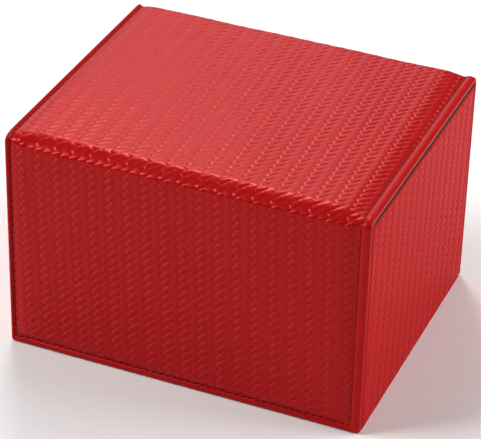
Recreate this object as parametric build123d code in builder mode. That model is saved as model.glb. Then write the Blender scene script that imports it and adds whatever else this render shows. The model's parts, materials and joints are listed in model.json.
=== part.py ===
"""Card deck box: a lined tray inside a wrap-around cover whose top is the lid and whose front is a flap.

The origin is the centre of the base. +X is to the right, the flap faces -Y and +Z is up.
Every cover panel is a sandwich: lining, board, foam and skin, counted from its inner face outward.
"""

import os

from build123d import *

os.makedirs("parts", exist_ok=True)

# Overall size of the closed box
WIDTH = 158.0
DEPTH = 129.0
HEIGHT = 101.3

# Layers of a cover panel, from the inside out
COVER_LINING = 0.3
COVER_BOARD = 1.2
COVER_FOAM = 0.3
COVER_SKIN = 0.4
COVER = COVER_LINING + COVER_BOARD + COVER_FOAM + COVER_SKIN

# Layers of a tray wall, from the outside in
TRAY_SKIN = 0.8
TRAY_BOARD = 2.0
TRAY_LINING = 0.6
TRAY_WALL = TRAY_SKIN + TRAY_BOARD + TRAY_LINING

# Gaps between the tray and the closed cover
SIDE_REVEAL = 0.1
FLAP_GAP = 0.4
RIM_GAP = 1.0
FLAP_LIFT = 0.2
BACK_LIFT = 0.4

# Turned edge and seam of the cover
TURNED_SKIN = 0.4
TURN_IN = 8.0
LEFT_SEAM_INSET = 2.1
RIGHT_SEAM_INSET = 4.4
LOWER_SEAM_INSET = 3.0
SEAM_GROOVE = 0.9
PANEL_CORNER = 1.2
LEFT_STITCH_PITCH = 3.1
RIGHT_STITCH_PITCH = 3.85
STITCH_SPACE = 1.0
STITCH_WIDTH = 0.7
STITCH_RISE = 0.3

# Folds of the cover that act as hinges
FRONT_FOLD_RUN = 8.0
FRONT_FOLD_DROP = 3.5
REAR_FOLD = 3.2
FOLD_SKIN = COVER_FOAM + COVER_SKIN

# Divider between the two card rows
DIVIDER_BOARD = 2.0
DIVIDER_TOP = 80.0
DIVIDER_CORNER = 8.0

# Closing magnets
MAGNET_RADIUS = 5.0
MAGNET_THICKNESS = 1.0
MAGNET_SPREAD = 90.0
MAGNET_HEIGHT = 22.0
POCKET_CLEARANCE = 0.1

# Places that follow from the sizes above
EDGE_X = WIDTH / 2
FRONT_Y = -DEPTH / 2
BACK_Y = DEPTH / 2
LID_UNDERSIDE = HEIGHT - COVER
LID_FRONT_Y = FRONT_Y + FRONT_FOLD_RUN
LID_REAR_Y = BACK_Y - REAR_FOLD
FLAP_TOP = HEIGHT - FRONT_FOLD_DROP
BACK_TOP = HEIGHT - REAR_FOLD

TRAY_X = EDGE_X - SIDE_REVEAL
TRAY_FRONT_Y = FRONT_Y + COVER + FLAP_GAP
TRAY_BACK_Y = BACK_Y - COVER
TRAY_TOP = LID_UNDERSIDE - RIM_GAP
RIM_UNDERSIDE = TRAY_TOP - TRAY_SKIN
FLOOR_TOP = TRAY_SKIN + TRAY_BOARD
INSIDE_FLOOR = FLOOR_TOP + TRAY_LINING
BOARD_X = TRAY_X - TRAY_SKIN
BOARD_FRONT_Y = TRAY_FRONT_Y + TRAY_SKIN
LINING_X = BOARD_X - TRAY_BOARD
LINING_FRONT_Y = BOARD_FRONT_Y + TRAY_BOARD
LINING_BACK_Y = TRAY_BACK_Y - TRAY_BOARD
INSIDE_X = LINING_X - TRAY_LINING
INSIDE_FRONT_Y = LINING_FRONT_Y + TRAY_LINING
INSIDE_BACK_Y = LINING_BACK_Y - TRAY_LINING

CORE_X = EDGE_X - TURNED_SKIN
LEFT_SEAM_X = -EDGE_X + LEFT_SEAM_INSET
RIGHT_SEAM_X = EDGE_X - RIGHT_SEAM_INSET
FIELD_SPAN = (LEFT_SEAM_X + SEAM_GROOVE / 2, RIGHT_SEAM_X - SEAM_GROOVE / 2)
LEAF_SPAN = (LEFT_SEAM_X - SEAM_GROOVE / 2, RIGHT_SEAM_X + SEAM_GROOVE / 2)
SEAM_MIDDLE_X = (LEFT_SEAM_X + RIGHT_SEAM_X) / 2
SIDE_SEAMS = ((LEFT_SEAM_X, LEFT_STITCH_PITCH), (RIGHT_SEAM_X, RIGHT_STITCH_PITCH))
TURN_IN_X = EDGE_X - TURN_IN


def save(piece, label):
    """Names a finished piece and writes it to its own file."""
    piece.part.label = label
    export_step(piece.part, f"parts/{label}.step")


def slab(x_span, y_span, z_span, mode=Mode.ADD):
    """Adds the block between two x, two y and two z values to the part being built, or cuts it out."""
    (x_low, x_high), (y_low, y_high), (z_low, z_high) = x_span, y_span, z_span
    with BuildSketch(Plane.XY.offset(z_low)) as footprint:
        with Locations(((x_low + x_high) / 2, (y_low + y_high) / 2)):
            Rectangle(x_high - x_low, y_high - y_low)
    extrude(footprint.sketch, amount=z_high - z_low, mode=mode)


def round_lower_corners(panel_piece, radius):
    """Rounds the two lower corners of a piece of an upright panel."""
    fillet(panel_piece.edges().filter_by(Axis.Y).group_by(Axis.Z)[0], radius)


def stitch_places(length, pitch):
    """Centres of evenly pitched stitches along a seam of this length, from its middle."""
    count = int((length + STITCH_SPACE) // pitch)
    first = -(count - 1) / 2 * pitch
    return [first + pitch * i for i in range(count)]


# ---------------------------------------------------------------- tray: boards

with BuildPart() as floor_board:
    slab((-BOARD_X, BOARD_X), (BOARD_FRONT_Y, TRAY_BACK_Y), (TRAY_SKIN, FLOOR_TOP))
save(floor_board, "floor_board")

magnet_plane = Plane((0, BOARD_FRONT_Y, MAGNET_HEIGHT), x_dir=(1, 0, 0), z_dir=(0, 1, 0))
with BuildPart() as front_wall_board:
    slab((-LINING_X, LINING_X), (BOARD_FRONT_Y, LINING_FRONT_Y), (FLOOR_TOP, RIM_UNDERSIDE))
    with BuildSketch(magnet_plane):
        with GridLocations(MAGNET_SPREAD, 0, 2, 1):
            Circle(MAGNET_RADIUS + POCKET_CLEARANCE)
    extrude(amount=MAGNET_THICKNESS, mode=Mode.SUBTRACT)
save(front_wall_board, "front_wall_board")

with BuildPart() as wall_magnets:
    with BuildSketch(magnet_plane):
        with GridLocations(MAGNET_SPREAD, 0, 2, 1):
            Circle(MAGNET_RADIUS)
    extrude(amount=MAGNET_THICKNESS)
save(wall_magnets, "wall_magnets")

with BuildPart() as back_wall_board:
    slab((-LINING_X, LINING_X), (LINING_BACK_Y, TRAY_BACK_Y), (FLOOR_TOP, RIM_UNDERSIDE))
save(back_wall_board, "back_wall_board")

# ---------------------------------------------------------------- tray: skins and linings

with BuildPart() as base_skin:
    slab((-BOARD_X, BOARD_X), (BOARD_FRONT_Y, TRAY_BACK_Y), (0, TRAY_SKIN))
save(base_skin, "base_skin")

with BuildPart() as front_wall_skin:
    slab((-BOARD_X, BOARD_X), (TRAY_FRONT_Y, BOARD_FRONT_Y), (0, RIM_UNDERSIDE))
save(front_wall_skin, "front_wall_skin")

for side, sign in (("left", -1), ("right", 1)):
    board_span = sorted((sign * LINING_X, sign * BOARD_X))
    skin_span = sorted((sign * BOARD_X, sign * TRAY_X))
    lining_span = sorted((sign * INSIDE_X, sign * LINING_X))

    with BuildPart() as side_wall_board:
        slab(board_span, (BOARD_FRONT_Y, TRAY_BACK_Y), (FLOOR_TOP, RIM_UNDERSIDE))
    save(side_wall_board, f"{side}_wall_board")

    with BuildPart() as side_skin:
        slab(skin_span, (TRAY_FRONT_Y, TRAY_BACK_Y), (0, RIM_UNDERSIDE))
        outer_face = side_skin.faces().filter_by(Axis.X).sort_by(Axis.X)[-1 if sign > 0 else 0]
        front_edge = outer_face.edges().filter_by(Axis.Z).sort_by(Axis.Y)[0]
        fillet(front_edge, TRAY_SKIN / 2)
    save(side_skin, f"{side}_side_skin")

    with BuildPart() as side_wall_lining:
        slab(lining_span, (INSIDE_FRONT_Y, INSIDE_BACK_Y), (INSIDE_FLOOR, RIM_UNDERSIDE))
    save(side_wall_lining, f"{side}_wall_lining")

with BuildPart() as floor_lining:
    slab((-LINING_X, LINING_X), (LINING_FRONT_Y, LINING_BACK_Y), (FLOOR_TOP, INSIDE_FLOOR))
save(floor_lining, "floor_lining")

with BuildPart() as front_wall_lining:
    slab((-LINING_X, LINING_X), (LINING_FRONT_Y, INSIDE_FRONT_Y), (INSIDE_FLOOR, RIM_UNDERSIDE))
save(front_wall_lining, "front_wall_lining")

with BuildPart() as back_wall_lining:
    slab((-LINING_X, LINING_X), (INSIDE_BACK_Y, LINING_BACK_Y), (INSIDE_FLOOR, RIM_UNDERSIDE))
save(back_wall_lining, "back_wall_lining")

with BuildPart() as rim_binding:
    rim_layer = (RIM_UNDERSIDE, TRAY_TOP)
    slab((-TRAY_X, TRAY_X), (TRAY_FRONT_Y, TRAY_BACK_Y), rim_layer)
    slab((-INSIDE_X, INSIDE_X), (INSIDE_FRONT_Y, INSIDE_BACK_Y), rim_layer, Mode.SUBTRACT)
    fillet(rim_binding.edges().group_by(Axis.Z)[-1], TRAY_SKIN / 2)
save(rim_binding, "rim_binding")

# ---------------------------------------------------------------- tray: divider

divider_length = INSIDE_BACK_Y - INSIDE_FRONT_Y
divider_middle_y = (INSIDE_FRONT_Y + INSIDE_BACK_Y) / 2
divider_height = DIVIDER_TOP - INSIDE_FLOOR


def divider_outline(inset):
    """The divider's side profile, drawn this far inside its edge."""
    with Locations((divider_middle_y, INSIDE_FLOOR + divider_height / 2)):
        Rectangle(divider_length - 2 * inset, divider_height - 2 * inset)


with BuildPart() as divider_board:
    with BuildSketch(Plane.YZ.offset(-DIVIDER_BOARD / 2)):
        divider_outline(TRAY_LINING)
    extrude(amount=DIVIDER_BOARD)
    upper_corners = divider_board.edges().filter_by(Axis.X).group_by(Axis.Z)[-1]
    fillet(upper_corners, DIVIDER_CORNER - TRAY_LINING)
save(divider_board, "divider_board")

with BuildPart() as divider_lining:
    with BuildSketch(Plane.YZ.offset(-DIVIDER_BOARD / 2 - TRAY_LINING)):
        divider_outline(0)
    extrude(amount=DIVIDER_BOARD + 2 * TRAY_LINING)
    upper_corners = divider_lining.edges().filter_by(Axis.X).group_by(Axis.Z)[-1]
    fillet(upper_corners, DIVIDER_CORNER)
    add(divider_board.part, mode=Mode.SUBTRACT)
save(divider_lining, "divider_lining")

# ---------------------------------------------------------------- cover: flap and back panel

for panel, outward, low, high in (
    ("flap", -1, FLAP_LIFT, FLAP_TOP),
    ("back_panel", 1, BACK_LIFT, BACK_TOP),
):
    inner_face = outward * (DEPTH / 2 - COVER)

    def layer(start, end):
        """The y span between two depths, counted outward from the panel's inner face."""
        return sorted((inner_face + outward * start, inner_face + outward * end))

    board_layer = layer(COVER_LINING, COVER_LINING + COVER_BOARD)
    foam_layer = layer(COVER_LINING + COVER_BOARD, COVER - COVER_SKIN)
    skin_layer = layer(COVER - COVER_SKIN, COVER)
    core_bottom = low + TURNED_SKIN
    core_corner = PANEL_CORNER - TURNED_SKIN
    seam_bottom = low + LOWER_SEAM_INSET
    field_bottom = seam_bottom + SEAM_GROOVE / 2
    stitched_height = high - seam_bottom
    magnet_face = Plane(
        (0, inner_face + outward * COVER_LINING, MAGNET_HEIGHT),
        x_dir=(1, 0, 0),
        z_dir=(0, outward, 0),
    )

    with BuildPart() as panel_lining:
        slab((-TURN_IN_X, TURN_IN_X), layer(0, COVER_LINING), (low + TURN_IN, high))
    save(panel_lining, f"{panel}_lining")

    with BuildPart() as panel_board:
        slab((-CORE_X, CORE_X), board_layer, (core_bottom, high))
        round_lower_corners(panel_board, core_corner)
        if panel == "flap":
            with BuildSketch(magnet_face):
                with GridLocations(MAGNET_SPREAD, 0, 2, 1):
                    Circle(MAGNET_RADIUS + POCKET_CLEARANCE)
            extrude(amount=MAGNET_THICKNESS, mode=Mode.SUBTRACT)
    save(panel_board, f"{panel}_board")

    if panel == "flap":
        with BuildPart() as flap_magnets:
            with BuildSketch(magnet_face):
                with GridLocations(MAGNET_SPREAD, 0, 2, 1):
                    Circle(MAGNET_RADIUS)
            extrude(amount=MAGNET_THICKNESS)
        save(flap_magnets, "flap_magnets")

    with BuildPart() as panel_foam:
        slab((-CORE_X, CORE_X), foam_layer, (core_bottom, high))
        round_lower_corners(panel_foam, core_corner)
    save(panel_foam, f"{panel}_foam")

    with BuildPart() as panel_skin:
        slab(FIELD_SPAN, skin_layer, (field_bottom, high))
    save(panel_skin, f"{panel}_skin")

    with BuildPart() as panel_core:
        slab((-CORE_X, CORE_X), layer(COVER_LINING, COVER - COVER_SKIN), (core_bottom, high))
        round_lower_corners(panel_core, core_corner)

    with BuildPart() as panel_turned_edge:
        slab((-EDGE_X, EDGE_X), layer(0, COVER), (low, high))
        round_lower_corners(panel_turned_edge, PANEL_CORNER)
        add(panel_core.part, mode=Mode.SUBTRACT)
        leaf_bottom = seam_bottom - SEAM_GROOVE / 2
        slab(LEAF_SPAN, skin_layer, (leaf_bottom, high), Mode.SUBTRACT)
        slab((-TURN_IN_X, TURN_IN_X), layer(0, COVER_LINING), (low + TURN_IN, high), Mode.SUBTRACT)
    save(panel_turned_edge, f"{panel}_turned_edge")

    stitch_face = Plane(
        (0, inner_face + outward * (COVER - COVER_SKIN), seam_bottom),
        x_dir=(1, 0, 0),
        z_dir=(0, outward, 0),
    )
    upward = stitch_face.y_dir.Z
    lower_places = stitch_places(RIGHT_SEAM_X - LEFT_SEAM_X - LEFT_STITCH_PITCH, LEFT_STITCH_PITCH)
    with BuildPart() as panel_stitching:
        with BuildSketch(stitch_face):
            for seam_x, pitch in SIDE_SEAMS:
                rises = [stitched_height / 2 + z for z in stitch_places(stitched_height - pitch, pitch)]
                with Locations(*[(seam_x, upward * z) for z in rises]):
                    SlotOverall(pitch - STITCH_SPACE, STITCH_WIDTH, rotation=90)
            with Locations(*[(SEAM_MIDDLE_X + x, 0) for x in lower_places]):
                SlotOverall(LEFT_STITCH_PITCH - STITCH_SPACE, STITCH_WIDTH)
        extrude(amount=STITCH_RISE)
    save(panel_stitching, f"{panel}_stitching")

# ---------------------------------------------------------------- cover: lid

lid_depth = LID_REAR_Y - LID_FRONT_Y
lid_y_span = (LID_FRONT_Y, LID_REAR_Y)
lid_board_top = LID_UNDERSIDE + COVER_LINING + COVER_BOARD
lid_foam_top = lid_board_top + COVER_FOAM

with BuildPart() as lid_lining:
    slab((-TURN_IN_X, TURN_IN_X), lid_y_span, (LID_UNDERSIDE, LID_UNDERSIDE + COVER_LINING))
save(lid_lining, "lid_lining")

with BuildPart() as lid_board:
    slab((-CORE_X, CORE_X), lid_y_span, (LID_UNDERSIDE + COVER_LINING, lid_board_top))
save(lid_board, "lid_board")

with BuildPart() as lid_foam:
    slab((-CORE_X, CORE_X), lid_y_span, (lid_board_top, lid_foam_top))
save(lid_foam, "lid_foam")

with BuildPart() as lid_skin:
    slab(FIELD_SPAN, lid_y_span, (lid_foam_top, HEIGHT))
save(lid_skin, "lid_skin")

with BuildPart() as lid_turned_edges:
    slab((-EDGE_X, EDGE_X), lid_y_span, (LID_UNDERSIDE, HEIGHT))
    slab((-CORE_X, CORE_X), lid_y_span, (LID_UNDERSIDE + COVER_LINING, lid_foam_top), Mode.SUBTRACT)
    slab(LEAF_SPAN, lid_y_span, (lid_foam_top, HEIGHT), Mode.SUBTRACT)
    slab((-TURN_IN_X, TURN_IN_X), lid_y_span, (LID_UNDERSIDE, HEIGHT), Mode.SUBTRACT)
save(lid_turned_edges, "lid_turned_edges")

with BuildPart() as lid_stitching:
    with BuildSketch(Plane.XY.offset(lid_foam_top)):
        lid_middle_y = (LID_FRONT_Y + LID_REAR_Y) / 2
        for seam_x, pitch in SIDE_SEAMS:
            with Locations(*[(seam_x, lid_middle_y + y) for y in stitch_places(lid_depth, pitch)]):
                SlotOverall(pitch - STITCH_SPACE, STITCH_WIDTH, rotation=90)
    extrude(amount=STITCH_RISE)
save(lid_stitching, "lid_stitching")

# ---------------------------------------------------------------- cover: folds


def fold_band(centre, start_angle, outer_radii, thickness):
    """Adds a quarter of an elliptical band across the cover's width, this thick at both its ends."""
    inner_radii = [radius - thickness for radius in outer_radii]
    with BuildSketch(Plane.YZ.offset(-EDGE_X)) as profile:
        with BuildLine():
            outer = EllipticalCenterArc(centre, *outer_radii, start_angle, arc_size=90)
            inner = EllipticalCenterArc(centre, *inner_radii, start_angle, arc_size=90)
            Line(outer @ 0, inner @ 0)
            Line(outer @ 1, inner @ 1)
        make_face()
    extrude(profile.sketch, amount=WIDTH)


for fold, centre, start_angle, radii in (
    ("front", (LID_FRONT_Y, FLAP_TOP), 90, (FRONT_FOLD_RUN, FRONT_FOLD_DROP)),
    ("rear", (LID_REAR_Y, BACK_TOP), 0, (REAR_FOLD, REAR_FOLD)),
):
    with BuildPart() as fold_skin:
        fold_band(centre, start_angle, radii, FOLD_SKIN)
    save(fold_skin, f"{fold}_fold_skin")

    lining_radii = [radius - FOLD_SKIN for radius in radii]
    with BuildPart() as fold_lining:
        fold_band(centre, start_angle, lining_radii, COVER_LINING)
    save(fold_lining, f"{fold}_fold_lining")
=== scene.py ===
"""Card deck box in embossed red imitation leather, with a wrap-around cover and a lined tray.

The cover (flap, front fold, lid, rear fold, back panel) is one strip of leather. Every piece of it
is laid out flat first, as x across the box and s, the distance along the strip from the flap's lower
edge, and is then wrapped round the box. A depth is counted inward from the cover's outer face.
"""

import json
import math

import bmesh
import bpy
import numpy as np
from mathutils import Matrix, Vector


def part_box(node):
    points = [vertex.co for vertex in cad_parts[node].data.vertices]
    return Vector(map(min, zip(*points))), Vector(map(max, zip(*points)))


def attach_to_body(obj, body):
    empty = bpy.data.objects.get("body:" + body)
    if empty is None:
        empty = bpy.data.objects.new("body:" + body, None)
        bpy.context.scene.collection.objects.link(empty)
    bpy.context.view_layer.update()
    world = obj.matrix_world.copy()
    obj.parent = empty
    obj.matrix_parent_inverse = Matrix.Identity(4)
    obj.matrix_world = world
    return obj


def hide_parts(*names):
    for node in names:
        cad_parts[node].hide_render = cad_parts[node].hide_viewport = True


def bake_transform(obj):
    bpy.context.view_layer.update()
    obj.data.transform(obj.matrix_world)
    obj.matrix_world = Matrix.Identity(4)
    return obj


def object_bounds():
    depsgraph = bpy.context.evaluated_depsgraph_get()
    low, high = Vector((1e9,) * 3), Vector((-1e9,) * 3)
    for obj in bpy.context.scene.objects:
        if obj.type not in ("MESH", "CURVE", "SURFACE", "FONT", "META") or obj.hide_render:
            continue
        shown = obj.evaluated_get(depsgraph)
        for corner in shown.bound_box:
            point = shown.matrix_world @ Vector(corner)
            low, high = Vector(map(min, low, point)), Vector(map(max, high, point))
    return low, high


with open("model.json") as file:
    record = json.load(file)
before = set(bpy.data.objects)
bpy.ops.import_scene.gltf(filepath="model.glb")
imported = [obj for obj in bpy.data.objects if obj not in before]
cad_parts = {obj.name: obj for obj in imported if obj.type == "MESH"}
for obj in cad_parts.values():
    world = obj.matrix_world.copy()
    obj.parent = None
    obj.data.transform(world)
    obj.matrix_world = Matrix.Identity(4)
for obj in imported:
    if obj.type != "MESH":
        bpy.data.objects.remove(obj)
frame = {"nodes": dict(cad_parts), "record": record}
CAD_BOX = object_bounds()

MM = 0.001
CAD_BOX_LOW, CAD_BOX_HIGH = (Vector(corner) for corner in CAD_BOX)

# ---------------------------------------------------------------- places, from the frame

FLAP_LOW, FLAP_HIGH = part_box("flap_turned_edge")
LID_LOW, LID_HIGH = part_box("lid_turned_edges")
BACK_LOW, BACK_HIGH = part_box("back_panel_turned_edge")
FIELD_LOW, FIELD_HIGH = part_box("lid_skin")
LINING_LOW, LINING_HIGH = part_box("lid_lining")
SIDE_LOW, SIDE_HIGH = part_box("right_side_skin")
RIM_LOW, RIM_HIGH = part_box("rim_binding")

SEAM_GROOVE = 0.9 * MM
EDGE_X = LID_HIGH.x
COVER = LID_HIGH.z - LID_LOW.z
COVER_LINING = LINING_HIGH.z - LINING_LOW.z
TURN_IN = EDGE_X - LINING_HIGH.x
LEFT_INSET = EDGE_X + FIELD_LOW.x - SEAM_GROOVE / 2
RIGHT_INSET = EDGE_X - FIELD_HIGH.x - SEAM_GROOVE / 2
LOWER_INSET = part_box("flap_skin")[0].z - FLAP_LOW.z - SEAM_GROOVE / 2

FRONT_RUN = LID_LOW.y - FLAP_LOW.y
FRONT_DROP = LID_HIGH.z - FLAP_HIGH.z
REAR_RUN = BACK_HIGH.y - LID_HIGH.y
REAR_DROP = LID_HIGH.z - BACK_HIGH.z

# ---------------------------------------------------------------- the strip's path round the box

FRONT_PULLS = (0.20, 0.35)
SEAM_PULLS = (0.55, 0.80)
REAR_PULLS = (0.55, 0.45)
SEAM_REACH = (12 * MM, 3 * MM)
CURVE_POINTS = 721


def smoothstep(value, low, high):
    """0 below low, 1 above high, and a smooth ramp between."""
    t = np.clip((value - low) / (high - low), 0, 1)
    return t * t * (3 - 2 * t)


def fold_curve(run, drop, pulls):
    """Arc lengths and unit offsets along a fold, from its upright end to its level end.

    The first pull is how far the fold goes on upright, the second is where it turns level.
    """
    t = np.linspace(0, 1, CURVE_POINTS)
    upright, level = pulls
    across = (1 - t) ** 3 + 3 * (1 - t) ** 2 * t + 3 * (1 - t) * t**2 * level
    upward = 3 * (1 - t) ** 2 * t * upright + 3 * (1 - t) * t**2 + t**3
    steps = np.hypot(np.diff(run * across), np.diff(drop * upward))
    return np.concatenate([[0], np.cumsum(steps)]), across, upward


FRONT_CURVE = fold_curve(FRONT_RUN, FRONT_DROP, FRONT_PULLS)
SEAM_CURVE = fold_curve(FRONT_RUN, FRONT_DROP, SEAM_PULLS)
REAR_CURVE = fold_curve(REAR_RUN, REAR_DROP, REAR_PULLS)

S_FLAP = FLAP_HIGH.z - FLAP_LOW.z
S_FRONT = S_FLAP + FRONT_CURVE[0][-1]
S_LID = S_FRONT + LID_HIGH.y - LID_LOW.y
S_REAR = S_LID + REAR_CURVE[0][-1]
S_BACK = S_REAR + BACK_HIGH.z - BACK_LOW.z
SECTIONS = {
    "flap": (0.0, S_FLAP),
    "front_fold": (S_FLAP, S_FRONT),
    "lid": (S_FRONT, S_LID),
    "rear_fold": (S_LID, S_REAR),
    "back_panel": (S_REAR, S_BACK),
}


def wrap(x, s, depth):
    """Points on the cover for flat places x and s at a depth below its outer face."""
    x, s, depth = np.broadcast_arrays(x, s, depth)
    share = (s - S_FLAP) / FRONT_CURVE[0][-1]
    soft, tight = (
        [np.interp(share, lengths / lengths[-1], offsets) for offsets in (across, upward)]
        for lengths, across, upward in (FRONT_CURVE, SEAM_CURVE)
    )
    at_seam = smoothstep(np.abs(x), EDGE_X - SEAM_REACH[0], EDGE_X - SEAM_REACH[1])
    on_front, up_front = (a + (b - a) * at_seam for a, b in zip(soft, tight))
    left_on_rear = REAR_CURVE[0][-1] - (s - S_LID)
    on_rear = np.interp(left_on_rear, REAR_CURVE[0], REAR_CURVE[1])
    up_rear = np.interp(left_on_rear, REAR_CURVE[0], REAR_CURVE[2])
    below = [s <= S_FLAP, s <= S_FRONT, s <= S_LID, s <= S_REAR]
    y = np.select(
        below,
        [
            FLAP_LOW.y + depth,
            LID_LOW.y - (FRONT_RUN - depth) * on_front,
            LID_LOW.y + s - S_FRONT,
            LID_HIGH.y + (REAR_RUN - depth) * on_rear,
        ],
        BACK_HIGH.y - depth,
    )
    z = np.select(
        below,
        [
            FLAP_LOW.z + s,
            FLAP_HIGH.z + (FRONT_DROP - depth) * up_front,
            LID_HIGH.z - depth,
            BACK_HIGH.z + (REAR_DROP - depth) * up_rear,
        ],
        BACK_HIGH.z - (s - S_REAR),
    )
    return np.stack([x, y, z], axis=-1)


# ---------------------------------------------------------------- mesh helpers

SHARP_ANGLE = math.radians(45)


def new_piece(name, points, faces, material, normals=None):
    """A smooth-shaded mesh object."""
    mesh = bpy.data.meshes.new(name)
    mesh.from_pydata([tuple(p) for p in points], [], faces)
    mesh.validate()
    mesh.shade_smooth()
    if normals is not None:
        mesh.normals_split_custom_set_from_vertices([tuple(n) for n in normals])
    mesh.materials.append(material)
    piece = bpy.data.objects.new(name, mesh)
    bpy.context.scene.collection.objects.link(piece)
    return piece


def vertex_normals(points, faces):
    """Vertex normals of a mesh that isn't kept."""
    mesh = bpy.data.meshes.new("scratch")
    mesh.from_pydata([tuple(p) for p in points], [], faces)
    normals = np.zeros(len(points) * 3)
    mesh.vertex_normals.foreach_get("vector", normals)
    bpy.data.meshes.remove(mesh)
    return normals.reshape(-1, 3)


def grid_faces(rows, columns, first=0):
    """Quads between the points of a grid, which are counted row by row."""
    index = first + np.arange(rows * columns).reshape(rows, columns)
    corners = (index[:-1, :-1], index[:-1, 1:], index[1:, 1:], index[1:, :-1])
    return np.stack([c.ravel() for c in corners], axis=1).tolist()


# ---------------------------------------------------------------- the embossed weave

STRIP = 2.69 * MM
RELIEF = 0.38 * MM
LID_RELIEF = 0.21 * MM
STRIP_CUTS = (0.0, 0.05, 0.13, 0.50, 0.87)
BEVEL = 0.13
LEAN = 0.5
END_RUN = 0.17
NEAR_END = 0.15
FALLING_LEVEL = 0.62
FALLING_EDGE = 0.82
CUT_MERGE = 1e-6


def weave_height(a, b):
    """Height from 0 to 1 of a two-over two-under weave, at places a and b counted in strips.

    The strands that rise to the right stand proud at their crisp upper edge and lean down from it.
    The falling ones lie low between them.
    """
    i, j = np.floor(a + 1e-6), np.floor(b + 1e-6)
    turn = np.mod(i + j, 4)
    rising = turn < 2
    along = np.where(rising, a - i + turn, b - j + turn - 2)
    across = np.where(rising, b - j, a - i)
    crown = smoothstep(np.minimum(across, 1 - across), 0, BEVEL)
    near, far = smoothstep(along, 0, END_RUN), smoothstep(2 - along, 0, END_RUN)
    lean = 1 - LEAN * np.clip((across - BEVEL) / (1 - BEVEL), 0, 1)
    ends = (NEAR_END + (1 - NEAR_END) * near) * (FALLING_LEVEL + (1 - FALLING_LEVEL) * far)
    proud = smoothstep(across, 0, BEVEL) * lean * ends
    low = FALLING_LEVEL * (FALLING_EDGE + (1 - FALLING_EDGE) * crown) * near * far
    return np.where(rising, proud, low)


def weave_lattice(x_span, s_span, tilt, stretch):
    """Points (x, s, weave height) and quads of the weave over a rectangle and a little past it.

    The mesh lines run along the strips, at 45 degrees to the sides, so that every groove lies on a line.
    """
    cos_t, sin_t = math.cos(tilt), math.sin(tilt)
    corners = np.array([(x / stretch, s) for x in x_span for s in s_span])
    across = corners[:, 0] * cos_t + corners[:, 1] * sin_t
    along = corners[:, 1] * cos_t - corners[:, 0] * sin_t
    diagonal = math.sqrt(2) * STRIP

    def lines(values):
        cells = np.arange(math.floor(values.min()) - 1, math.ceil(values.max()) + 2)
        return (cells[:, None] + np.array(STRIP_CUTS)[None, :]).ravel()

    rising, falling = lines((across + along) / diagonal), lines((across - along) / diagonal)
    a, b = np.meshgrid(rising, falling, indexing="ij")
    across, along = (a + b) * STRIP / math.sqrt(2), (a - b) * STRIP / math.sqrt(2)
    x = stretch * (across * cos_t - along * sin_t)
    s = across * sin_t + along * cos_t
    near = (x > x_span[0] - STRIP) & (x < x_span[1] + STRIP)
    near &= (s > s_span[0] - STRIP) & (s < s_span[1] + STRIP)
    keep = near[:-1, :-1] & near[:-1, 1:] & near[1:, 1:] & near[1:, :-1]
    index = np.arange(a.size).reshape(a.shape)
    quads = np.stack([index[:-1, :-1], index[:-1, 1:], index[1:, 1:], index[1:, :-1]], axis=-1)[keep]
    used, quads = np.unique(quads, return_inverse=True)
    points = np.stack([x.ravel(), s.ravel(), weave_height(a, b).ravel()], axis=-1)[used]
    return points, quads.reshape(-1, 4)


def flat_weave(x_span, s_span, tilt, stretch, inner_cuts=()):
    """Points (x, s, weave height) and faces of the weave, cut cleanly at the rectangle's sides.

    An inner cut only adds a mesh line across the rectangle, at that s.
    """
    points, quads = weave_lattice(x_span, s_span, tilt, stretch)
    scratch = bpy.data.meshes.new("scratch")
    scratch.from_pydata(points.tolist(), [], quads.tolist())
    work = bmesh.new()
    work.from_mesh(scratch)
    cuts = [((x_span[0], 0, 0), (-1, 0, 0), True), ((x_span[1], 0, 0), (1, 0, 0), True)]
    cuts += [((0, s_span[0], 0), (0, -1, 0), True), ((0, s_span[1], 0), (0, 1, 0), True)]
    cuts += [((0, cut, 0), (0, 1, 0), False) for cut in inner_cuts]
    for place, normal, clear in cuts:
        whole = work.verts[:] + work.edges[:] + work.faces[:]
        bmesh.ops.bisect_plane(
            work, geom=whole, dist=CUT_MERGE, plane_co=place, plane_no=normal, clear_outer=clear
        )
    work.to_mesh(scratch)
    work.free()
    points = np.zeros(len(scratch.vertices) * 3)
    scratch.vertices.foreach_get("co", points)
    faces = [tuple(face.vertices) for face in scratch.polygons]
    bpy.data.meshes.remove(scratch)
    return points.reshape(-1, 3), faces


# ---------------------------------------------------------------- the cover's woven field

COVER_TILT = math.radians(1.8)
COVER_STRETCH = 1.033
PAD_RISE = 0.45 * MM
SEAM_SINK = 0.56 * MM
PAD_RUNS = {"left": 6.0 * MM, "right": 10.0 * MM, "lower": 4.5 * MM}
PRESSED_RUN = 1.0 * MM
PRESSED_SHARE = 0.8
FIELD_SPAN = (FIELD_LOW.x, FIELD_HIGH.x)
FIELD_BOTTOM = LOWER_INSET + SEAM_GROOVE / 2
CREASE_DEPTH = 0.12 * MM
CREASE_WIDTH = 1.6 * MM
CREASE_FLAT = 0.35
SOFT_WAVE = 0.10 * MM
FRONT_EASE = (S_FLAP - 2 * MM, S_FRONT - 3 * MM)


def soft_wave(x, s):
    """The leather's slight unevenness over the padding, about -1.6 to 1.6."""
    broad = np.sin(x / (11 * MM) + 0.7) * np.sin(s / (17 * MM))
    return broad + 0.6 * np.sin(x / (6.1 * MM) + s / (23 * MM))


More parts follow.
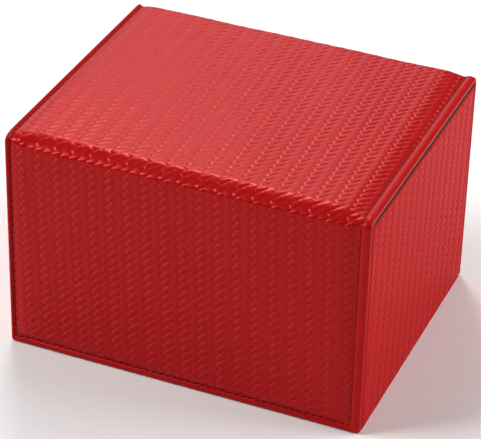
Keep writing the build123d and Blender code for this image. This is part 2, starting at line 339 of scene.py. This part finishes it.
def field_depth(x, s, height):
    """Depth of the woven field: a soft pad that sinks into the seams, with the weave's relief on it.

    The relief is full on the flap and the back panel, and pressed flatter on the lid.
    """
    gaps = {
        "left": x - FIELD_SPAN[0],
        "right": FIELD_SPAN[1] - x,
        "lower": np.minimum(s, S_BACK - s) - FIELD_BOTTOM,
    }
    swell = np.ones_like(x)
    pressed = np.ones_like(x)
    for side, gap in gaps.items():
        swell = swell * np.sin(np.clip(gap / PAD_RUNS[side], 0, 1) * math.pi / 2)
        pressed = pressed * (PRESSED_SHARE + (1 - PRESSED_SHARE) * smoothstep(gap, 0, PRESSED_RUN))
    crease = CREASE_DEPTH * np.exp(-(((s - S_FLAP) / CREASE_WIDTH) ** 2))
    surface = SEAM_SINK - (PAD_RISE + SEAM_SINK) * swell + crease - SOFT_WAVE * soft_wave(x, s) * swell
    upright = 1 - smoothstep(s, *FRONT_EASE) + smoothstep(s, S_LID, S_REAR)
    relief = LID_RELIEF + (RELIEF - LID_RELIEF) * upright
    flattened = 1 - CREASE_FLAT * np.exp(-(((s - S_FLAP - CREASE_WIDTH / 2) / CREASE_WIDTH) ** 2))
    return surface - relief * pressed * flattened * (height - 0.5)


def woven_section(section, material):
    """One section of the cover's woven field, with the normals it has as part of the whole strip."""
    ends = (FIELD_BOTTOM, S_BACK - FIELD_BOTTOM)
    low, high = np.clip(SECTIONS[section], *ends)
    reach = np.clip((low - 2 * STRIP, high + 2 * STRIP), *ends)
    flat, faces = flat_weave(FIELD_SPAN, reach, COVER_TILT, COVER_STRETCH, (low, high))
    points = wrap(flat[:, 0], flat[:, 1], field_depth(*flat.T))
    normals = vertex_normals(points, faces)
    inside = [face for face in faces if low < flat[list(face), 1].mean() < high]
    used = sorted({corner for face in inside for corner in face})
    place = {corner: i for i, corner in enumerate(used)}
    inside = [tuple(place[corner] for corner in face) for face in inside]
    return new_piece(f"{section}_weave", points[used], inside, material, normals[used])


# ---------------------------------------------------------------- the cover's smooth turned edges

EDGE_ROUND = 1.0 * MM
INNER_ROUND = 0.9 * MM
GROOVE_DEPTH = 0.62 * MM
MARGIN_RISE = 0.34 * MM
PANEL_CORNER = 1.2 * MM
LEAST_CORNER = 0.3 * MM
HEM_TAPER = (0.2 * MM, 0.15 * MM)
ARC_STEPS = 6
QUARTER_TURNS = [math.pi / 2 * i / ARC_STEPS for i in range(ARC_STEPS + 1)]
EDGE_ROWS = {"front_fold": 31, "lid": 30, "rear_fold": 13}
U_SIDE_ROWS, U_LOWER_ROWS, U_CORNER_ROWS = 12, 16, 9


def edge_profile():
    """Cross-section of a turned edge, from the seam outward and round to the hem on the inside.

    Each point is (share of the seam's inset, further inset, depth).
    """
    groove = [
        (1, 0.47 * MM, GROOVE_DEPTH),
        (1, 0.20 * MM, GROOVE_DEPTH),
        (1, -0.10 * MM, GROOVE_DEPTH - 0.05 * MM),
        (1, -0.32 * MM, 0.36 * MM),
        (1, -0.52 * MM, 0.10 * MM),
        (1, -0.75 * MM, -0.5 * MARGIN_RISE),
        (0.5, 0, -MARGIN_RISE),
    ]
    outer, inner = [], []
    for t in QUARTER_TURNS:
        height = EDGE_ROUND + 0.5 * MARGIN_RISE * math.cos(t)
        outer.append((0, EDGE_ROUND * (1 - math.sin(t)), EDGE_ROUND - height * math.cos(t)))
        inner.append((0, INNER_ROUND * (1 - math.cos(t)), COVER - INNER_ROUND * (1 - math.sin(t))))
    hem = [(0, TURN_IN - HEM_TAPER[0], COVER), (0, TURN_IN, COVER - HEM_TAPER[1])]
    return groove + outer + inner + hem


def straight_edge(side, s_values):
    """Flat rows (x, s, depth) of a turned edge along the strip, on its left (-1) or right (1)."""
    seam = LEFT_INSET if side < 0 else RIGHT_INSET
    profile = [(side * (EDGE_X - share * seam - inset), depth) for share, inset, depth in edge_profile()]
    return [[(x, s, depth) for x, depth in profile] for s in s_values]


def u_edge(top, low_end, sign):
    """Flat rows of a turned edge that runs down the left, round the lower edge and up the right."""
    columns = []
    height = abs(top - low_end)
    straights = np.linspace(0, 1, U_SIDE_ROWS)
    lower = np.linspace(0, 1, U_LOWER_ROWS)
    turns = np.linspace(0, math.pi / 2, U_CORNER_ROWS)[1:-1]
    for share, inset, depth in edge_profile():
        left, right, rise = (share * seam + inset for seam in (LEFT_INSET, RIGHT_INSET, LOWER_INSET))
        corner = max(PANEL_CORNER - min(left, right, rise), LEAST_CORNER)
        x_left, x_right = -EDGE_X + left, EDGE_X - right
        in_left, in_right, above = x_left + corner, x_right - corner, rise + corner
        down = [(x_left, height + (above - height) * t) for t in straights]
        first = [(in_left - corner * math.cos(t), above - corner * math.sin(t)) for t in turns]
        along = [(in_left + (in_right - in_left) * t, rise) for t in lower]
        second = [(in_right + corner * math.sin(t), above - corner * math.cos(t)) for t in turns]
        up = [(x_right, above + (height - above) * t) for t in straights]
        path = down + first + along + second + up
        columns.append([(x, low_end + sign * v, depth) for x, v in path])
    return [list(row) for row in zip(*columns)]


def edge_piece(name, strips, material, flip):
    """A piece made of flat strips of rows, wrapped round the box, each with its faces flipped or not."""
    points, faces = [], []
    for rows, turned in zip(strips, flip):
        flat = np.array(rows)
        first = sum(len(p) for p in points)
        points.append(wrap(flat[..., 0], flat[..., 1], flat[..., 2]).reshape(-1, 3))
        quads = grid_faces(flat.shape[0], flat.shape[1], first)
        faces += [quad[::-1] for quad in quads] if turned else quads
    return new_piece(name, np.concatenate(points), faces, material)


def turned_edges(material):
    """The cover's turned edges, one piece for each section."""
    pieces = {}
    pieces["flap"] = edge_piece("flap_edge", [u_edge(S_FLAP, 0, 1)], material, [False])
    pieces["back_panel"] = edge_piece("back_panel_edge", [u_edge(S_REAR, S_BACK, -1)], material, [True])
    for section, count in EDGE_ROWS.items():
        places = np.linspace(*SECTIONS[section], count)
        strips = [straight_edge(side, places) for side in (-1, 1)]
        pieces[section] = edge_piece(f"{section}_edges", strips, material, [True, False])
    return pieces


# ---------------------------------------------------------------- stitches and fold linings

LEFT_PITCH = 3.1 * MM
RIGHT_PITCH = 3.85 * MM
STITCH_SPACE = 1.0 * MM
THREAD_RADIUS = 0.34 * MM
STITCH_DEPTH = 0.42 * MM
STITCH_DIP = 0.30 * MM
THREAD_SIDES = 8
THREAD_RINGS = 9
# The needle holes are shallow near-black discs: painted shade for the dark inside each hole.
HOLE_HALF = (0.50 * MM, 0.32 * MM)
HOLE_DEPTH = 0.45 * MM
HOLE_DISH = 0.1 * MM
HOLE_SIDES = 12


def stitch_points(x, s, heading, pitch):
    """Flat points of one stitch, a short thread that dips into its holes at both ends."""
    rings = np.linspace(-1, 1, THREAD_RINGS)
    sides = np.linspace(0, 2 * math.pi, THREAD_SIDES, endpoint=False)
    along, around = np.meshgrid(rings, sides, indexing="ij")
    radius = THREAD_RADIUS * np.sqrt(np.clip(1 - np.abs(along) ** 3, 0.02, 1))
    sideways = radius * np.cos(around)
    depth = STITCH_DEPTH + STITCH_DIP * along**4 - radius * np.sin(around)
    dx, ds = heading
    reach = (pitch - STITCH_SPACE) / 2 * along
    return x + reach * dx - sideways * ds, s + reach * ds + sideways * dx, depth


def stitch_places():
    """(section, x, s, heading, pitch) of every stitch of the cover."""
    left, right = -EDGE_X + LEFT_INSET, EDGE_X - RIGHT_INSET
    start, end = LOWER_INSET, S_BACK - LOWER_INSET
    for x, pitch in ((left, LEFT_PITCH), (right, RIGHT_PITCH)):
        count = round((end - start) / pitch)
        for i in range(count):
            s = start + (i + 0.5) * (end - start) / count
            section = next(name for name, (low, high) in SECTIONS.items() if low <= s <= high)
            yield section, x, s, (0, 1), pitch
    across = round((right - left) / LEFT_PITCH)
    for i in range(across):
        x = left + (i + 0.5) * (right - left) / across
        yield "flap", x, start, (1, 0), LEFT_PITCH
        yield "back_panel", x, end, (1, 0), LEFT_PITCH


def stitching(material):
    """The cover's stitches, one piece for each section."""
    groups = {name: [] for name in SECTIONS}
    for section, *place in stitch_places():
        groups[section].append(wrap(*stitch_points(*place)))
    pieces = {}
    for section, stitches in groups.items():
        points, faces = [], []
        for number, stitch in enumerate(stitches):
            first = number * THREAD_RINGS * THREAD_SIDES
            points.append(stitch.reshape(-1, 3))
            for ring in range(THREAD_RINGS - 1):
                for side in range(THREAD_SIDES):
                    a = first + ring * THREAD_SIDES + side
                    b = first + ring * THREAD_SIDES + (side + 1) % THREAD_SIDES
                    faces.append((a, b, b + THREAD_SIDES, a + THREAD_SIDES))
            last = first + (THREAD_RINGS - 1) * THREAD_SIDES
            faces.append(tuple(range(first + THREAD_SIDES - 1, first - 1, -1)))
            faces.append(tuple(range(last, last + THREAD_SIDES)))
        pieces[section] = new_piece(f"{section}_stitches", np.concatenate(points), faces, material)
    return pieces


def needle_hole_shades(section, material):
    """Near-black discs sunk where the thread goes down between two stitches: painted shade that stands
    in for the dark inside the needle holes.
    """
    points, faces = [], []
    for name, x, s, (dx, ds), pitch in stitch_places():
        if name != section:
            continue
        turns = np.linspace(0, 2 * math.pi, HOLE_SIDES, endpoint=False)
        along = np.append(HOLE_HALF[0] * np.cos(turns), 0) - pitch / 2
        aside = np.append(HOLE_HALF[1] * np.sin(turns), 0)
        depth = np.append(np.full(HOLE_SIDES, HOLE_DEPTH), HOLE_DEPTH + HOLE_DISH)
        first = len(points) * (HOLE_SIDES + 1)
        points.append(wrap(x + along * dx - aside * ds, s + along * ds + aside * dx, depth))
        middle = first + HOLE_SIDES
        faces += [(first + i, first + (i + 1) % HOLE_SIDES, middle) for i in range(HOLE_SIDES)]
    return new_piece(f"{section}_needle_hole_shades", np.concatenate(points), faces, material)


FOLD_STEPS = 25
PADDING_INSET = 4.0 * MM


def padding(section, material):
    """The padding of a panel. It stops short of the seams, which draw the leather down to the board."""
    foam_low, foam_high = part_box("lid_foam")
    inset = FIELD_BOTTOM + PADDING_INSET
    low, high = np.clip(SECTIONS[section], inset, S_BACK - inset)
    left, right = FIELD_LOW.x + PADDING_INSET, FIELD_HIGH.x - PADDING_INSET
    outline = ((left, low), (right, low), (right, high), (left, high))
    depths = (LID_HIGH.z - foam_high.z, LID_HIGH.z - foam_low.z)
    corners = [(x, s, depth) for depth in depths for x, s in outline]
    faces = [(0, 1, 2, 3), (7, 6, 5, 4)]
    faces += [(i, i + 4, (i + 1) % 4 + 4, (i + 1) % 4) for i in range(4)]
    piece = new_piece(f"{section}_padding", wrap(*np.array(corners).T), faces, material)
    piece.data.set_sharp_from_angle(angle=SHARP_ANGLE)
    return piece


def fold_lining(section, material):
    """The thin lining that crosses a fold on the inside."""
    half = EDGE_X - TURN_IN
    outer = COVER - COVER_LINING
    corners = [(-half, outer), (half, outer), (half, COVER), (-half, COVER), (-half, outer)]
    rows = [[(x, s, depth) for x, depth in corners] for s in np.linspace(*SECTIONS[section], FOLD_STEPS)]
    piece = edge_piece(f"{section}_inner_lining", [rows], material, [False])
    piece.data.set_sharp_from_angle(angle=SHARP_ANGLE)
    return piece


# ---------------------------------------------------------------- the tray's outer skins and rim

SIDE_TILT = math.radians(-3.0)
SIDE_STRETCH = 1.01
SIDE_ROUNDS = {"front": 1.3 * MM, "back": 0.5 * MM, "top": 0.6 * MM, "bottom": 0.3 * MM}
SIDE_PRESSED = 1.5 * MM
SIDE_RELIEF = 0.24 * MM
RIM_SETBACK = 0.3 * MM
RIM_ROUND = 0.35 * MM


def side_weave(name, side, material):
    """The woven skin of one side wall, rounded at its edges."""
    across = sorted((side * SIDE_LOW.y, side * SIDE_HIGH.y))
    upward = (SIDE_LOW.z, RIM_LOW.z)
    flat, faces = flat_weave(across, upward, SIDE_TILT * side, SIDE_STRETCH)
    h, v, height = flat.T
    to_ends = (h - across[0], across[1] - h)
    to_front, to_back = to_ends if side > 0 else to_ends[::-1]
    gaps = {"front": to_front, "back": to_back, "top": upward[1] - v, "bottom": v - upward[0]}
    depth = np.zeros_like(h)
    pressed = np.ones_like(h)
    for edge, gap in gaps.items():
        radius = SIDE_ROUNDS[edge]
        depth = depth + radius - np.sqrt(radius**2 - np.clip(radius - gap, 0, radius) ** 2)
        pressed = pressed * smoothstep(gap, 0, SIDE_PRESSED)
    depth = depth - SIDE_RELIEF * pressed * (height - 0.5)
    points = np.stack([side * (RIM_HIGH.x - depth), side * h, v], axis=-1)
    return new_piece(name, points, faces, material)


def rim_band(material):
    """The lining's band over the tray's rim, a mitred ring with rounded edges."""
    drop = RIM_HIGH.z - RIM_LOW.z
    wall = RIM_HIGH.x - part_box("right_wall_lining")[0].x
    rounds = [(RIM_ROUND * (1 - math.cos(t)), RIM_ROUND * (1 - math.sin(t))) for t in QUARTER_TURNS]
    outer = [(RIM_SETBACK + inward, -fall) for inward, fall in rounds]
    inner = [(wall - inward, -fall) for fall, inward in rounds]
    profile = [(RIM_SETBACK, -drop), *outer, *inner, (wall, -drop)]
    rows = []
    for x_sign, y_sign in ((-1, -1), (1, -1), (1, 1), (-1, 1), (-1, -1)):
        row = []
        for inset, rise in profile:
            x = x_sign * (RIM_HIGH.x - inset)
            y = RIM_LOW.y + inset if y_sign < 0 else RIM_HIGH.y - inset
            row.append((x, y, RIM_HIGH.z + rise))
        rows.append(row)
    points = np.array(rows)
    piece = new_piece("rim_band", points.reshape(-1, 3), grid_faces(len(rows), len(profile)), material)
    piece.data.set_sharp_from_angle(angle=SHARP_ANGLE)
    return piece


# ---------------------------------------------------------------- materials

LEATHER_RED = (0.46, 0.0058, 0.0068)
LEATHER_DEEP = (0.42, 0.0050, 0.0060)
GRAIN_SIZE = 0.55 * MM
MOTTLE_SIZE = 3.0 * MM


class Nodes:
    """A material's node tree, built up by short calls."""

    def __init__(self, name):
        self.material = bpy.data.materials.new(name)
        self.material.use_nodes = True
        self.tree = self.material.node_tree
        self.shader = self.tree.nodes["Principled BSDF"]
        self.place = self.tree.nodes.new("ShaderNodeTexCoord").outputs["Object"]

    def add(self, kind, **settings):
        """A new node with these settings."""
        node = self.tree.nodes.new(kind)
        for key, value in settings.items():
            setattr(node, key, value)
        return node

    def link(self, source, target):
        """Joins an output to an input."""
        self.tree.links.new(source, target)

    def noise(self, size, detail=2.0, roughness=0.5, stretch=(1, 1, 1)):
        """Noise whose features are about this size in metres."""
        mapping = self.add("ShaderNodeMapping")
        mapping.inputs["Scale"].default_value = stretch
        self.link(self.place, mapping.inputs["Vector"])
        node = self.add("ShaderNodeTexNoise")
        node.inputs["Scale"].default_value = 1 / size
        node.inputs["Detail"].default_value = detail
        node.inputs["Roughness"].default_value = roughness
        self.link(mapping.outputs["Vector"], node.inputs["Vector"])
        return node.outputs["Fac"]

    def cells(self, size):
        """Distance to the nearest of scattered points, about this size in metres apart."""
        node = self.add("ShaderNodeTexVoronoi", feature="SMOOTH_F1")
        node.inputs["Scale"].default_value = 1 / size
        self.link(self.place, node.inputs["Vector"])
        return node.outputs["Distance"]

    def spread(self, source, low, high):
        """Maps noise between 0.3 and 0.7 to the range from low to high."""
        node = self.add("ShaderNodeMapRange")
        node.inputs["From Min"].default_value = 0.3
        node.inputs["From Max"].default_value = 0.7
        node.inputs["To Min"].default_value = low
        node.inputs["To Max"].default_value = high
        self.link(source, node.inputs["Value"])
        return node.outputs["Result"]

    def mix(self, factor, first, second):
        """A colour between two colours."""
        node = self.add("ShaderNodeMix", data_type="RGBA")
        node.inputs["A"].default_value = (*first, 1)
        node.inputs["B"].default_value = (*second, 1)
        self.link(factor, node.inputs["Factor"])
        return node.outputs["Result"]

    def bump(self, source, depth, strength=1.0, below=None):
        """Bump of this depth in metres, on top of another bump if given."""
        node = self.add("ShaderNodeBump")
        node.inputs["Distance"].default_value = depth
        node.inputs["Strength"].default_value = strength
        self.link(source, node.inputs["Height"])
        if below is not None:
            self.link(below, node.inputs["Normal"])
        return node.outputs["Normal"]

    def set(self, **values):
        """Constants on the shader's own sockets; an underscore stands for a space."""
        for key, value in values.items():
            self.shader.inputs[key.replace("_", " ")].default_value = value

    def finish(self, colour, roughness, normal=None):
        """The material, with its shader's sockets joined to these."""
        self.link(colour, self.shader.inputs["Base Color"])
        self.link(roughness, self.shader.inputs["Roughness"])
        if normal is not None:
            self.link(normal, self.shader.inputs["Normal"])
        return self.material


def leather(name, light, deep, grain_depth, roughness, gloss_level, coat):
    """Coloured imitation leather with a fine grain and slight mottling."""
    nodes = Nodes(name)
    nodes.set(Metallic=0.15, Specular_IOR_Level=gloss_level, Coat_Weight=coat, Coat_Roughness=0.22)
    grain = nodes.cells(GRAIN_SIZE)
    creases = nodes.noise(GRAIN_SIZE * 1.6, 3)
    normal = nodes.bump(grain, grain_depth)
    normal = nodes.bump(creases, grain_depth * 0.8, below=normal)
    colour = nodes.mix(nodes.spread(nodes.noise(MOTTLE_SIZE, 4, 0.7), 0, 1), deep, light)
    gloss = nodes.spread(nodes.noise(GRAIN_SIZE * 3, 3), roughness - 0.05, roughness + 0.05)
    return nodes.finish(colour, gloss, normal)


def suede(name, light, deep):
    """Short-napped microsuede."""
    nodes = Nodes(name)
    nodes.set(Specular_IOR_Level=0.15, Sheen_Weight=0.1, Sheen_Roughness=0.5)
    nap = nodes.noise(0.35 * MM, 4, 0.7)
    colour = nodes.mix(nodes.spread(nodes.noise(4 * MM, 4, 0.6), 0, 1), deep, light)
    gloss = nodes.spread(nap, 0.85, 0.98)
    return nodes.finish(colour, gloss, nodes.bump(nap, 0.12 * MM))


def fibre_board(name, light, deep):
    """Grey pasteboard with short fibres."""
    nodes = Nodes(name)
    fibres = nodes.noise(0.8 * MM, 5, 0.7, (1, 1, 4))
    colour = nodes.mix(nodes.spread(fibres, 0, 1), deep, light)
    return nodes.finish(colour, nodes.spread(fibres, 0.8, 0.95), nodes.bump(fibres, 0.05 * MM))


def foam_sheet(name, light, deep):
    """White padding with open cells."""
    nodes = Nodes(name)
    cells = nodes.cells(0.7 * MM)
    colour = nodes.mix(cells, deep, light)
    return nodes.finish(colour, nodes.spread(cells, 0.85, 0.95), nodes.bump(cells, 0.1 * MM))


def thread(name, light, deep):
    """Twisted sewing thread."""
    nodes = Nodes(name)
    nodes.set(Specular_IOR_Level=0.2)
    twist = nodes.add("ShaderNodeTexWave", bands_direction="DIAGONAL")
    twist.inputs["Scale"].default_value = 1 / (1.2 * MM)
    twist.inputs["Distortion"].default_value = 1.0
    nodes.link(nodes.place, twist.inputs["Vector"])
    turns = twist.outputs["Fac"]
    colour = nodes.mix(turns, deep, light)
    return nodes.finish(colour, nodes.spread(turns, 0.5, 0.65), nodes.bump(turns, 0.05 * MM))


def plated_steel(name, light, deep):
    """Nickel-plated metal with a faint brushed finish."""
    nodes = Nodes(name)
    nodes.set(Metallic=1.0)
    brush = nodes.noise(0.4 * MM, 3, 0.6, (1, 1, 8))
    return nodes.finish(nodes.mix(brush, deep, light), nodes.spread(brush, 0.22, 0.34))


def studio_floor():
    """Matt white paper."""
    nodes = Nodes("studio_paper")
    nodes.set(Specular_IOR_Level=0.0)
    tone = nodes.noise(0.4, 2)
    colour = nodes.mix(tone, (0.90, 0.90, 0.90), (0.91, 0.91, 0.91))
    return nodes.finish(colour, nodes.spread(tone, 0.9, 0.95))


# ---------------------------------------------------------------- the studio

CAMERA_AZIMUTH = math.radians(22.205)
CAMERA_ELEVATION = math.radians(32.465)
CAMERA_ROLL = math.radians(1.4765)
CAMERA_DISTANCE = 1.0052
CAMERA_LENS = 177.2
CAMERA_AIM = Vector((-0.3, -2.8, -4.2)) * MM


def direction(azimuth, elevation):
    """Unit vector from the box towards a place at this elevation and azimuth, which is 0 in front.

    The azimuth grows towards the box's right, +X.
    """
    level = math.cos(elevation)
    return Vector((math.sin(azimuth) * level, -math.cos(azimuth) * level, math.sin(elevation)))


def place_camera(middle):
    """The camera, in front of the box, to its right and above it."""
    back = direction(CAMERA_AZIMUTH, CAMERA_ELEVATION)
    level_right = Vector((math.cos(CAMERA_AZIMUTH), math.sin(CAMERA_AZIMUTH), 0))
    level_up = back.cross(level_right)
    right = level_right * math.cos(CAMERA_ROLL) + level_up * math.sin(CAMERA_ROLL)
    up = back.cross(right)
    data = bpy.data.cameras.new("camera")
    data.sensor_width = 36
    data.lens = CAMERA_LENS
    data.clip_start = 0.05
    camera = bpy.data.objects.new("camera", data)
    turn = Matrix((right, up, back)).transposed().to_4x4()
    camera.matrix_world = Matrix.Translation(middle + CAMERA_AIM + back * CAMERA_DISTANCE) @ turn
    bpy.context.scene.collection.objects.link(camera)
    bpy.context.scene.camera = camera


def soft_light(name, azimuth, elevation, distance, width, height, radiance, middle):
    """An oblong light of this radiance that faces the box."""
    data = bpy.data.lights.new(name, "AREA")
    data.shape = "RECTANGLE"
    data.size = width
    data.size_y = height
    data.energy = radiance * math.pi * width * height
    lamp = bpy.data.objects.new(name, data)
    away = direction(math.radians(azimuth), math.radians(elevation))
    lamp.location = middle + away * distance
    lamp.rotation_mode = "QUATERNION"
    lamp.rotation_quaternion = away.to_track_quat("Z", "Y")
    bpy.context.scene.collection.objects.link(lamp)


LIGHTS = (
    # name, azimuth, elevation, distance, width, height, radiance
    ("key_light", 211, 54, 1.2, 0.25, 0.2, 23.0),
    ("rear_panel", 212, 28, 1.6, 1.0, 1.0, 1.75),
    ("overhead_panel", 125, 66, 1.6, 0.7, 0.7, 0.8),
    ("right_fill", 112, 22, 1.6, 0.9, 0.9, 7.9),
    ("front_fill", -62, 44, 1.8, 0.8, 0.8, 11.6),
    ("left_panel", -78, 4, 1.6, 1.0, 0.16, 6.5),
)
WORLD_RADIANCE = 0.12
FLOOR_HALF = 3.0


def light_studio(middle):
    """A dim even surround with soft lights, shown without a film look."""
    world = bpy.data.worlds.new("studio")
    world.use_nodes = True
    background = world.node_tree.nodes["Background"]
    background.inputs["Color"].default_value = (1, 1, 1, 1)
    background.inputs["Strength"].default_value = WORLD_RADIANCE
    bpy.context.scene.world = world
    for light in LIGHTS:
        soft_light(*light, middle)
    bpy.context.scene.view_settings.view_transform = "Standard"


def lay_floor(material):
    """The paper that the box stands on."""
    half = FLOOR_HALF
    corners = [(-half, -half, 0), (half, -half, 0), (half, half, 0), (-half, half, 0)]
    new_piece("studio_floor", corners, [(0, 1, 2, 3)], material)


# ---------------------------------------------------------------- putting it together

# The front fold bends in front of the tray's wall, so that its inside stays clear of the rim.
CAD_NODES = {
    "flap": ("flap_skin", "flap_turned_edge", "flap_stitching"),
    "lid": ("lid_skin", "lid_turned_edges", "lid_stitching"),
    "back_panel": ("back_panel_skin", "back_panel_turned_edge", "back_panel_stitching"),
}


def attach(piece, section):
    """Rides a piece of the cover with the body of its section; a fold piece only has its transform baked
    in.
    """
    if section == "front_fold":
        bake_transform(piece)
    elif section == "rear_fold":
        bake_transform(piece)
    else:
        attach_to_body(piece, "box" if section == "back_panel" else section)


def build_cover(materials):
    """The whole cover: woven field, turned edges, stitches and fold linings."""
    edges = turned_edges(materials["smooth_red_leather"])
    threads = stitching(materials["thread"])
    for section in SECTIONS:
        weave = woven_section(section, materials["woven_red_leather"])
        # The needle holes' near-black discs are painted shade.
        holes = needle_hole_shades(section, materials["needle_hole_shade"])
        for piece in (weave, edges[section], threads[section], holes):
            attach(piece, section)
        if section in CAD_NODES:
            for piece, node in zip((weave, edges[section], threads[section]), CAD_NODES[section]):
                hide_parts(node)
            foam = padding(section, materials["foam"])
            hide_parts(f"{section}_foam")
            attach(foam, section)
        else:
            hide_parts(f"{section}_skin")
            lining = fold_lining(section, materials["suede_lining"])
            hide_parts(f"{section}_lining")
            attach(lining, section)


def build_tray(materials):
    """The tray's woven sides and its rim."""
    for name, side in (("left", -1), ("right", 1)):
        weave = side_weave(f"{name}_side_weave", side, materials["side_red_leather"])
        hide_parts(f"{name}_side_skin")
        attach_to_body(weave, "box")
    rim = rim_band(materials["suede_lining"])
    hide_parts("rim_binding")
    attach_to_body(rim, "box")


def dress_frame(materials):
    """Gives every CAD node the material of its slot."""
    for part in frame["record"]["subparts"]:
        mesh = frame["nodes"][part["node"]].data
        mesh.materials.clear()
        mesh.materials.append(materials[part["material_slot"]])


def main():
    """Materials, pieces, floor, camera and lights."""
    reds = (LEATHER_RED, LEATHER_DEEP)
    materials = {
        "woven_red_leather": leather("woven_red_leather", *reds, 0.018 * MM, 0.28, 0.06, 0.10),
        "smooth_red_leather": leather("smooth_red_leather", *reds, 0.04 * MM, 0.38, 0.05, 0.08),
        "side_red_leather": leather("side_red_leather", *reds, 0.03 * MM, 0.42, 0.02, 0.04),
        "suede_lining": suede("suede_lining", (0.018, 0.016, 0.017), (0.009, 0.008, 0.008)),
        "greyboard": fibre_board("greyboard", (0.46, 0.44, 0.41), (0.36, 0.34, 0.31)),
        "foam": foam_sheet("foam", (0.80, 0.80, 0.78), (0.62, 0.62, 0.60)),
        "thread": thread("thread", (0.46, 0.009, 0.010), (0.30, 0.006, 0.007)),
        # Near-black painted shade for the needle holes, built on the thread's node layout.
        "needle_hole_shade": thread("needle_hole_shade", (0.060, 0.002, 0.003), (0.030, 0.001, 0.002)),
        "magnet": plated_steel("magnet", (0.68, 0.68, 0.70), (0.50, 0.50, 0.52)),
    }
    dress_frame(materials)
    build_cover(materials)
    build_tray(materials)
    lay_floor(studio_floor())
    middle = (CAD_BOX_LOW + CAD_BOX_HIGH) / 2
    place_camera(middle)
    light_studio(middle)


main()
